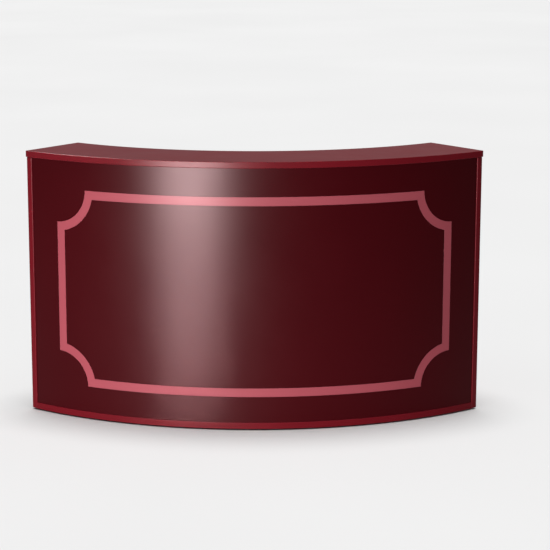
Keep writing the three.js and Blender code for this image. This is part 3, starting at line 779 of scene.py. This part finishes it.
liner = turnedShape(linerProfile(), onGrommet, grommet["linerSteps"])
cap = plate(capOutline(), capHigh.z - capLow.z,
            lambda x, y, h: onGrommet(x, y, h + capLow.z), grommet["capArris"])
makePiece("grommetLiner", [liner], blackMoulded, "root", ["grommet_liner"])
makePiece("grommetCap", [cap], blackMoulded, "grommet_cap", ["grommet_cap"])

# Angle brackets under the worktop, each with two screws in either leg. side is +1 where the upright leg's
# free face looks towards higher across values.
bracket = {"gauge": 0.0025, "bend": 0.004, "inside": 0.0015, "end": 0.0008, "arris": 0.0003,
           "screwPlaces": (0.014, 0.030)}
brackets = {"end_bracket_rear": ("endBracketRear", endTurn, -1),
            "end_bracket_front": ("endBracketFront", endTurn, -1),
            "gable_bracket_rear": ("gableBracketRear", -endTurn, 1),
            "gable_bracket_front": ("gableBracketFront", -endTurn, 1)}


def angleBracket(node, turn, side):
    low, high = turnedBox(node, turn)
    leg = high[1] - low[1]
    g = bracket["gauge"]
    put = onTurn(turn)
    heel = low[1] if side > 0 else high[1]
    top = high[2]
    bend, inside, end = bracket["bend"], bracket["inside"], bracket["end"]
    outline = softCorners([(0, 0), (0, -leg), (g, -leg), (g, -g), (leg, -g), (leg, 0)],
                          [bend, end, end, inside, end, end])
    shapes = [plate(outline, high[0] - low[0],
                    lambda x, y, h: put(low[0] + h, heel + side * x, top + y), bracket["arris"])]
    middle = (low[0] + high[0]) / 2
    for at in bracket["screwPlaces"]:
        shapes.append(screwHead(lambda x, y, h: put(middle + x, heel + side * (at + y), top - g - h)))
        shapes.append(screwHead(lambda x, y, h: put(middle + x, heel + side * (g + h), top - at + y)))
    return shapes


for node, (label, turn, side) in brackets.items():
    makePiece(label, angleBracket(node, turn, side), zincPlate, "root", [node])

# Glides: turned nylon feet with a rounded rim
glide = {"rim": 0.0022, "rimSteps": 7, "steps": 48}
glides = {"left_end_glide_rear": "leftGlideRear", "left_end_glide_front": "leftGlideFront",
          "right_end_glide_rear": "rightGlideRear", "right_end_glide_front": "rightGlideFront",
          "gable_glide": "gableGlide", "base_glide_left_front": "baseGlideLeftFront",
          "base_glide_left_rear": "baseGlideLeftRear", "base_glide_right_front": "baseGlideRightFront",
          "base_glide_right_rear": "baseGlideRightRear"}


def glideFoot(node):
    low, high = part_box(node)
    radius = (high.x - low.x) / 2
    middleX, middleY = (low.x + high.x) / 2, (low.y + high.y) / 2
    bend = np.linspace(-np.pi / 2, 0, glide["rimSteps"])
    rim = np.stack([radius + glide["rim"] * (np.cos(bend) - 1),
                    low.z + glide["rim"] * (1 + np.sin(bend))], -1)
    profile = np.concatenate([[(0, low.z)], rim, [(radius, high.z), (0, high.z)]])
    return turnedShape(profile, lambda x, y, h: np.stack([x + middleX, y + middleY, h], -1), glide["steps"])


for node, label in glides.items():
    makePiece(label, [glideFoot(node)], greyNylon, "root", [node])
print("lock, grommet, brackets and glides made")


# A value that changes over where a Light Path output is 1
def switch(tree, ray, off, on):
    return ramp(tree, ray, 0.0, 1.0, off, on)


# 1 where the camera, a reflection or a refraction looks, 0 where light only bounces
def seenRay(tree):
    rays = addNode(tree, "ShaderNodeLightPath").outputs
    seen = addNode(tree, "ShaderNodeMath", {0: rays["Is Camera Ray"], 1: rays["Is Glossy Ray"]},
                   operation="ADD", use_clamp=True)
    return addNode(tree, "ShaderNodeMath", {0: seen.outputs[0], 1: rays["Is Transmission Ray"]},
                   operation="ADD", use_clamp=True).outputs[0]


# Floor: one pale sheet, far larger than the view. It is pale where it is seen and greyer for bounced light,
# so that it shows white without lighting the front from below. In reflections it has a polish, and its colour
# carries a painted pool of light: brightest front left, dimmer farther off.
floor = {
    "size": 160.0, "pale": 0.77, "bounce": 0.20, "matt": 0.9,
    "mottle": 0.015, "mottleScale": 0.4, "mottleDetail": 2.0,
    # painted pool of light, seen only in reflections: its centre, its reach, and the colour gain near and far
    "paintedPool": (-1.0, -1.2, 0.0), "near": 0.8, "far": 5.5, "nearGain": 1.6, "farGain": 0.3,
    "polish": 0.2, "sheen": 0.76,
}


def floorPaper():
    material, tree, shader, where = newMaterial("floorPaper")
    mottle = noiseTo(tree, noise(tree, where, floor["mottleScale"], floor["mottleDetail"]),
                     1 - floor["mottle"], 1 + floor["mottle"])
    tone = times(tree, switch(tree, seenRay(tree), floor["bounce"], floor["pale"]), mottle)
    # painted pool of light: in reflections the floor's colour is raised near the centre front left and
    # lowered far from it
    away = addNode(tree, "ShaderNodeVectorMath", {0: where, 1: floor["paintedPool"]}, operation="DISTANCE")
    paintedPool = ramp(tree, away.outputs["Value"], floor["near"], floor["far"], floor["nearGain"], floor["farGain"])
    mirrored = addNode(tree, "ShaderNodeLightPath").outputs["Is Glossy Ray"]
    tree.links.new(times(tree, tone, switch(tree, mirrored, 1.0, paintedPool)), shader.inputs["Base Color"])
    tree.links.new(switch(tree, mirrored, floor["matt"], floor["polish"]), shader.inputs["Roughness"])
    tree.links.new(switch(tree, mirrored, 0.0, floor["sheen"]), shader.inputs["Specular IOR Level"])
    return material


sheet = bpy.data.meshes.new("studioFloor")
half = floor["size"] / 2
sheet.from_pydata([(-half, -half, 0), (half, -half, 0), (half, half, 0), (-half, half, 0)],
                  [], [(0, 1, 2, 3)])
sheet.materials.append(floorPaper())
studioFloor = bpy.data.objects.new("studioFloor", sheet)
bpy.context.scene.collection.objects.link(studioFloor)

# World: low where it lights, dim in reflections, and as pale as the floor where the camera sees it
fill = {"light": 0.20, "mirrored": 0.30, "shown": 0.86}
world = bpy.data.worlds.new("studio")
world.use_nodes = True
bpy.context.scene.world = world
worldTree = world.node_tree
worldTree.nodes.clear()
cameraRay = addNode(worldTree, "ShaderNodeLightPath").outputs["Is Camera Ray"]
unseen = switch(worldTree, seenRay(worldTree), fill["light"], fill["mirrored"])
paleness = switch(worldTree, cameraRay, unseen, fill["shown"])
air = addNode(worldTree, "ShaderNodeBackground", {"Color": (1.0, 1.0, 1.0, 1.0), "Strength": paleness})
addNode(worldTree, "ShaderNodeOutputWorld", {"Surface": air.outputs[0]})


def aimed(name, data, place, aim):
    lamp = bpy.data.objects.new(name, data)
    bpy.context.scene.collection.objects.link(lamp)
    lamp.location = place
    x, y, z = np.array(aim) - np.array(place)
    lamp.rotation_euler = (math.atan2(math.hypot(x, y), -z), 0.0, math.atan2(-x, y))
    return lamp


# Lamps: the key lights the front from front left. The streak's lamp stands there too, and shows only as the
# streak on the panel; the rim lamp shows only as the pale line on the counter's edge. Soft suns light the
# floor and upper faces from straight above, and the staff side from behind.
softboxes = {
    "keyLamp": {"place": (-1.866, -4.445, 0.375), "aim": (-0.35, -0.35, 0.375), "size": (1.54, 0.69),
                "spread": 110.0, "power": 104.0, "sheen": False},
    "streakLamp": {"place": (-1.866, -4.445, 0.530), "aim": (-0.35, -0.35, 0.530), "size": (1.70, 0.56),
                   "spread": 110.0, "power": 342.0, "sheen": True},
    "rimLamp": {"place": (-3.40, -0.85, 3.92), "aim": (-0.70, -0.15, 1.05), "size": (1.5, 0.9),
                "spread": 90.0, "power": 620.0, "sheen": True},
}
suns = {
    "overheadLight": {"strength": 2.95, "softness": 30.0, "place": (0.0, 0.2, 6.0)},
    "rearLight": {"strength": 0.9, "softness": 36.0, "place": (3.4, 3.6, 4.2)},
}
lamps = {}
for label, softbox in softboxes.items():
    glow = bpy.data.lights.new(label, "AREA")
    glow.shape = "RECTANGLE"
    glow.size, glow.size_y = softbox["size"]
    glow.spread = math.radians(softbox["spread"])
    glow.energy = softbox["power"]
    lamps[label] = aimed(label, glow, softbox["place"], softbox["aim"])
    lamps[label].visible_glossy = softbox["sheen"]       # a sheen lamp shows only in reflections
    lamps[label].visible_diffuse = not softbox["sheen"]
for label, sun in suns.items():
    glow = bpy.data.lights.new(label, "SUN")
    glow.energy = sun["strength"]
    glow.angle = math.radians(sun["softness"])
    lamps[label] = aimed(label, glow, sun["place"], (0.0, 0.0, 0.0))

# The key and the light from behind stay off the floor, and the rim lamp reaches only the counter
leftOut = bpy.data.collections.new("floorLeftOut")
leftOut.objects.link(studioFloor)
leftOut.collection_objects[0].light_linking.link_state = "EXCLUDE"
rimOnly = bpy.data.collections.new("rimOnly")
rimOnly.objects.link(counterBoard)
lamps["keyLamp"].light_linking.receiver_collection = leftOut
lamps["rearLight"].light_linking.receiver_collection = leftOut
lamps["rimLamp"].light_linking.receiver_collection = rimOnly

# Camera: in front of the desk's middle, well above counter height, looking down
view = {
    "distance": 7.08925, "height": 2.0953, "pitch": 11.790,
    "focalPixels": 1899.84, "frame": 550, "middle": 254.005,  # in pixels
    "sensor": 36.0, "clip": 200.0,
}
eye = bpy.data.cameras.new("photoCamera")
eye.sensor_width = view["sensor"]
eye.lens = view["focalPixels"] / view["frame"] * view["sensor"]
eye.shift_x = ((view["frame"] - 1) / 2 - view["middle"]) / view["frame"]
eye.clip_end = view["clip"]
photoCamera = bpy.data.objects.new("photoCamera", eye)
bpy.context.scene.collection.objects.link(photoCamera)
photoCamera.location = (0.0, baseLow.y - view["distance"], view["height"])
photoCamera.rotation_euler = (math.radians(90 - view["pitch"]), 0.0, 0.0)
bpy.context.scene.camera = photoCamera
bpy.context.scene.view_settings.view_transform = "Standard"
print("floor, lights and camera set")
